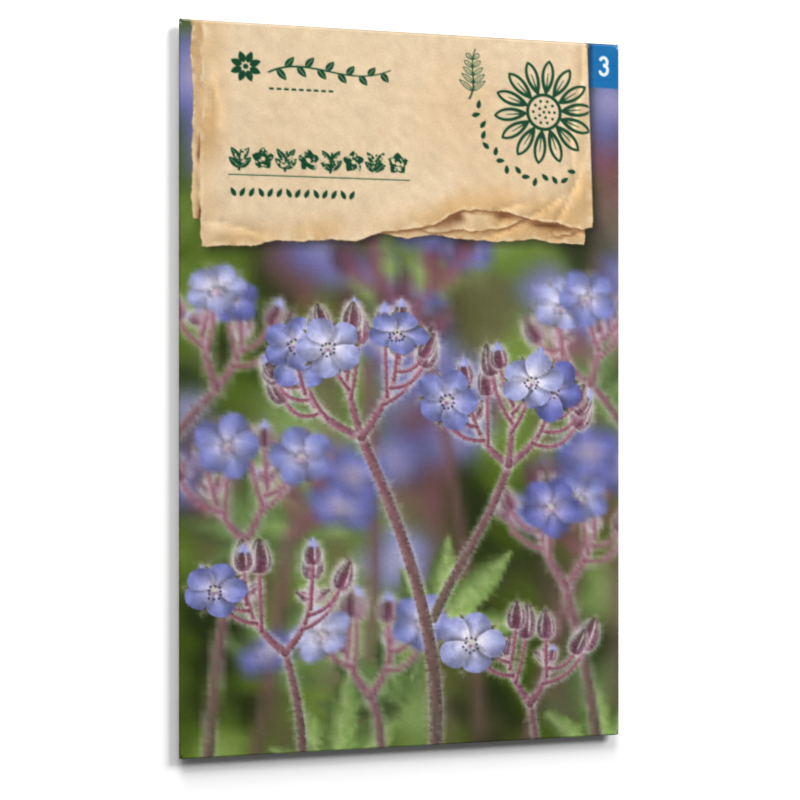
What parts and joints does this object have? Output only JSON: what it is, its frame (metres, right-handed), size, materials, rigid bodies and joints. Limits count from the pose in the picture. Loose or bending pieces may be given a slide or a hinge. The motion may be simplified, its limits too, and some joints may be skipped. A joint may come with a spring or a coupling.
{
  "type": "seed packet",
  "caption": "Flat sealed paper packet that holds loose flower seeds: front panel, glued side flaps, back panel and closing flap folded from one sheet.",
  "frame": {"origin": "under the middle of the packet's outline, on the surface that its back rests on", "axes": "+X to the reader's right and +Y to the top of the printed front, +Z out of the front"},
  "size_m": [0.095, 0.15, 0.0033],
  "materials": {
    "printed_paper": "satin coated paper, printed in full colour on the outside, white inside",
    "dried_glue": "thin dried adhesive film",
    "seed_coat": "dry, ridged, dull dark brown"
  },
  "bodies": {
    "root": {"packet": "printed_paper", "glue_left": "dried_glue", "glue_right": "dried_glue", "glue_closing": "dried_glue", "seed_01": "seed_coat", "seed_02": "seed_coat", "seed_03": "seed_coat", "seed_04": "seed_coat", "seed_05": "seed_coat", "seed_06": "seed_coat", "seed_07": "seed_coat", "seed_08": "seed_coat", "seed_09": "seed_coat", "seed_10": "seed_coat", "seed_11": "seed_coat", "seed_12": "seed_coat", "seed_13": "seed_coat", "seed_14": "seed_coat", "seed_15": "seed_coat", "seed_16": "seed_coat", "seed_17": "seed_coat", "seed_18": "seed_coat", "seed_19": "seed_coat", "seed_20": "seed_coat", "seed_21": "seed_coat", "seed_22": "seed_coat", "seed_23": "seed_coat", "seed_24": "seed_coat", "seed_25": "seed_coat", "seed_26": "seed_coat", "seed_27": "seed_coat", "seed_28": "seed_coat", "seed_29": "seed_coat", "seed_30": "seed_coat", "seed_31": "seed_coat", "seed_32": "seed_coat", "seed_33": "seed_coat", "seed_34": "seed_coat", "seed_35": "seed_coat", "seed_36": "seed_coat", "seed_37": "seed_coat", "seed_38": "seed_coat", "seed_39": "seed_coat", "seed_40": "seed_coat"}
  },
  "joints": []
}
